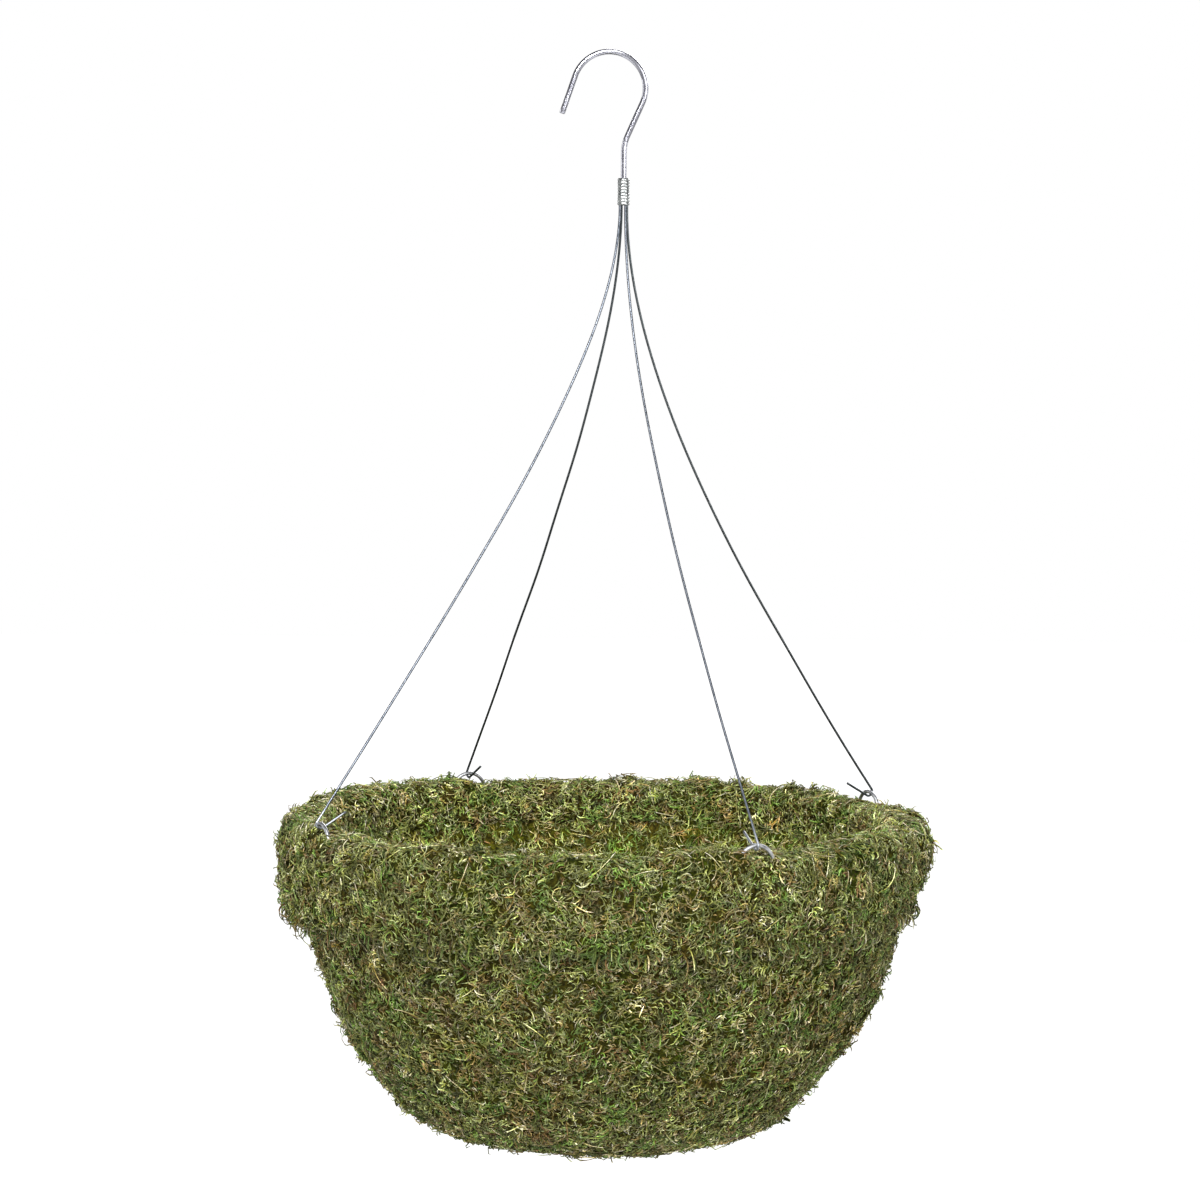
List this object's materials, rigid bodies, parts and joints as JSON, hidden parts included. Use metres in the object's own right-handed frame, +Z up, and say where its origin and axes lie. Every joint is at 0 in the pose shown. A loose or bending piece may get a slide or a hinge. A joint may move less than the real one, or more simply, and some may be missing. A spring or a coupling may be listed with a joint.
{
  "type": "hanging basket",
  "caption": "Round moss-lined wire basket with a flat base, hung by bowed spring wires hooked into rim eyelets and crimped to one large wire hook.",
  "frame": {"origin": "the hook seat: the underside of the hook's crown, where a bracket arm touches it", "axes": "+Z up along the basket's axis, +X from the crown towards the ferrule's side of the hook"},
  "size_m": [0.3724, 0.3724, 0.6246],
  "materials": {
    "hook_zinc": "bright galvanised steel wire with a fine grained zinc skin and darker rubbed edges",
    "ferrule_zinc": "crimped galvanised sleeve, duller in its grooves",
    "hanger_zinc": "blue-grey galvanised spring wire with a faint mottle",
    "frame_zinc": "dull galvanised wire, weathered where it shows above the moss",
    "moss_outside": "dried sheet moss in fine curled strands, olive and yellow-green with brown and tan patches",
    "moss_inside": "dried sheet moss, darker and browner inside the basket",
    "moss_rim": "dried sheet moss rolled over the rim, yellower on top, with loose curled ends along its lower edge"
  },
  "bodies": {
    "head": {"hook": "hook_zinc", "ferrule": "ferrule_zinc", "crimped_wire_ends": "hanger_zinc"},
    "basket": {"rim_ring": "frame_zinc", "eyelet_1": "frame_zinc", "eyelet_2": "frame_zinc", "eyelet_3": "frame_zinc", "eyelet_4": "frame_zinc", "rib_1": "frame_zinc", "rib_2": "frame_zinc", "rib_3": "frame_zinc", "rib_4": "frame_zinc", "rib_5": "frame_zinc", "rib_6": "frame_zinc", "rib_7": "frame_zinc", "rib_8": "frame_zinc", "hoop_upper": "frame_zinc", "hoop_middle": "frame_zinc", "hoop_lower": "frame_zinc", "base_ring": "frame_zinc", "base_wire_1": "frame_zinc", "base_wire_2": "frame_zinc", "moss_outer": "moss_outside", "moss_inner": "moss_inside", "moss_cuff": "moss_rim"},
    "wire_1": {"hanger_wire_1": "hanger_zinc"},
    "wire_2": {"hanger_wire_2": "hanger_zinc"},
    "wire_3": {"hanger_wire_3": "hanger_zinc"},
    "wire_4": {"hanger_wire_4": "hanger_zinc"}
  },
  "joints": [
    {"name": "basket_twist", "type": "hinge", "parent": "head", "child": "basket", "pos_m": [0, 0, -0.4344], "axis": [0, 0, 1], "range_deg": [-8, 8], "stiffness_Nm_per_rad": 0.23},
    {"name": "wire_1_sway", "type": "hinge", "parent": "head", "child": "wire_1", "pos_m": [0.00971, 0.00283, -0.0861], "axis": [0, 0, 1], "range_deg": [-8.6, 8.6]},
    {"name": "wire_2_sway", "type": "hinge", "parent": "head", "child": "wire_2", "pos_m": [0.00416, 0.00027, -0.0861], "axis": [0, 0, 1], "range_deg": [-8.6, 8.6]},
    {"name": "wire_3_sway", "type": "hinge", "parent": "head", "child": "wire_3", "pos_m": [0.00564, 0.0007, -0.0861], "axis": [0, 0, 1], "range_deg": [-8.6, 8.6]},
    {"name": "wire_4_sway", "type": "hinge", "parent": "head", "child": "wire_4", "pos_m": [0.00629, -0.0038, -0.0861], "axis": [0, 0, 1], "range_deg": [-8.6, 8.6]}
  ],
  "couplings": [
    {"joint": "wire_1_sway", "follows": "basket_twist", "ratio": 1.0589},
    {"joint": "wire_2_sway", "follows": "basket_twist", "ratio": 0.9902},
    {"joint": "wire_3_sway", "follows": "basket_twist", "ratio": 0.9708},
    {"joint": "wire_4_sway", "follows": "basket_twist", "ratio": 1.0361}
  ]
}
